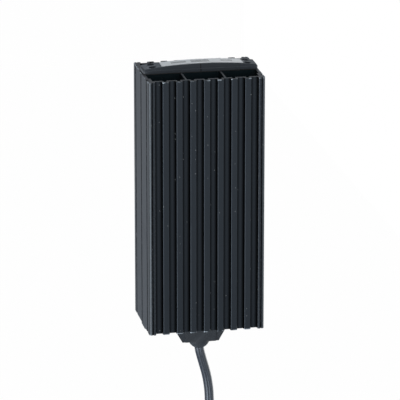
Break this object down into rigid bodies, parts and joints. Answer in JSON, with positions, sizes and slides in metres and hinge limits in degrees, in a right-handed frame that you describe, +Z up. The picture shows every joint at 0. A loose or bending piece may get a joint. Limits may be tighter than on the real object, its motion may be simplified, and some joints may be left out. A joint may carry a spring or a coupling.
{
  "type": "enclosure heater",
  "caption": "Upright enclosure heater: black corrugated aluminium chimney profile with a heating stack, moulded end caps, a hanging supply cable and a rail clip at the rear.",
  "frame": {"origin": "centre of the seat where the clip's plate rests on the rail's flanges, at the middle of the profile's height and width", "axes": "+X to the right across the front, +Y to the rear towards the rail, +Z up along the profile"},
  "size_m": [0.0709, 0.0556, 0.3116],
  "materials": {
    "anodised_profile": "black anodised, fine die lines along its length",
    "moulded_cap": "black moulded polyamide, fine grain",
    "cap_seal": "black silicone",
    "cap_screw": "black zinc-plated steel",
    "label": "pale grey satin film",
    "heating_stone": "metallised ceramic",
    "frame_plastic": "heat-proof moulding",
    "electrode": "rolled sheet",
    "insulation_film": "amber polyimide film",
    "clamp_aluminium": "mill finish",
    "terminal_brass": "tinned brass",
    "core_brown": "brown silicone insulation",
    "core_blue": "blue silicone insulation",
    "core_earth": "green and yellow silicone insulation",
    "collar_plastic": "black moulding",
    "cable_jacket": "black satin jacket",
    "tie_plastic": "black nylon",
    "ferrule": "tinned copper",
    "clip_steel": "zinc-plated spring steel",
    "clip_screw": "zinc-plated steel"
  },
  "bodies": {
    "root": {"heatsink_profile": "anodised_profile", "top_cap": "moulded_cap", "bottom_cap": "moulded_cap", "top_cap_seal": "cap_seal", "bottom_cap_seal": "cap_seal", "top_cap_screws": "cap_screw", "bottom_cap_screws": "cap_screw", "label_plate": "label", "ptc_stones": "heating_stone", "stone_frame": "frame_plastic", "front_electrode": "electrode", "rear_electrode": "electrode", "insulation_sleeve": "insulation_film", "pressure_plate": "clamp_aluminium", "clamp_wedge": "clamp_aluminium", "live_connector": "terminal_brass", "neutral_connector": "terminal_brass", "earth_connector": "terminal_brass", "live_lead": "core_brown", "neutral_lead": "core_blue", "earth_lead": "core_earth", "cable_collar": "collar_plastic", "power_cable": "cable_jacket", "cable_coil": "cable_jacket", "cable_tail": "cable_jacket", "cable_tie": "tie_plastic", "live_core": "core_brown", "neutral_core": "core_blue", "earth_core": "core_earth", "core_ferrules": "ferrule", "din_clip": "clip_steel", "din_clip_screws": "clip_screw"}
  },
  "joints": []
}
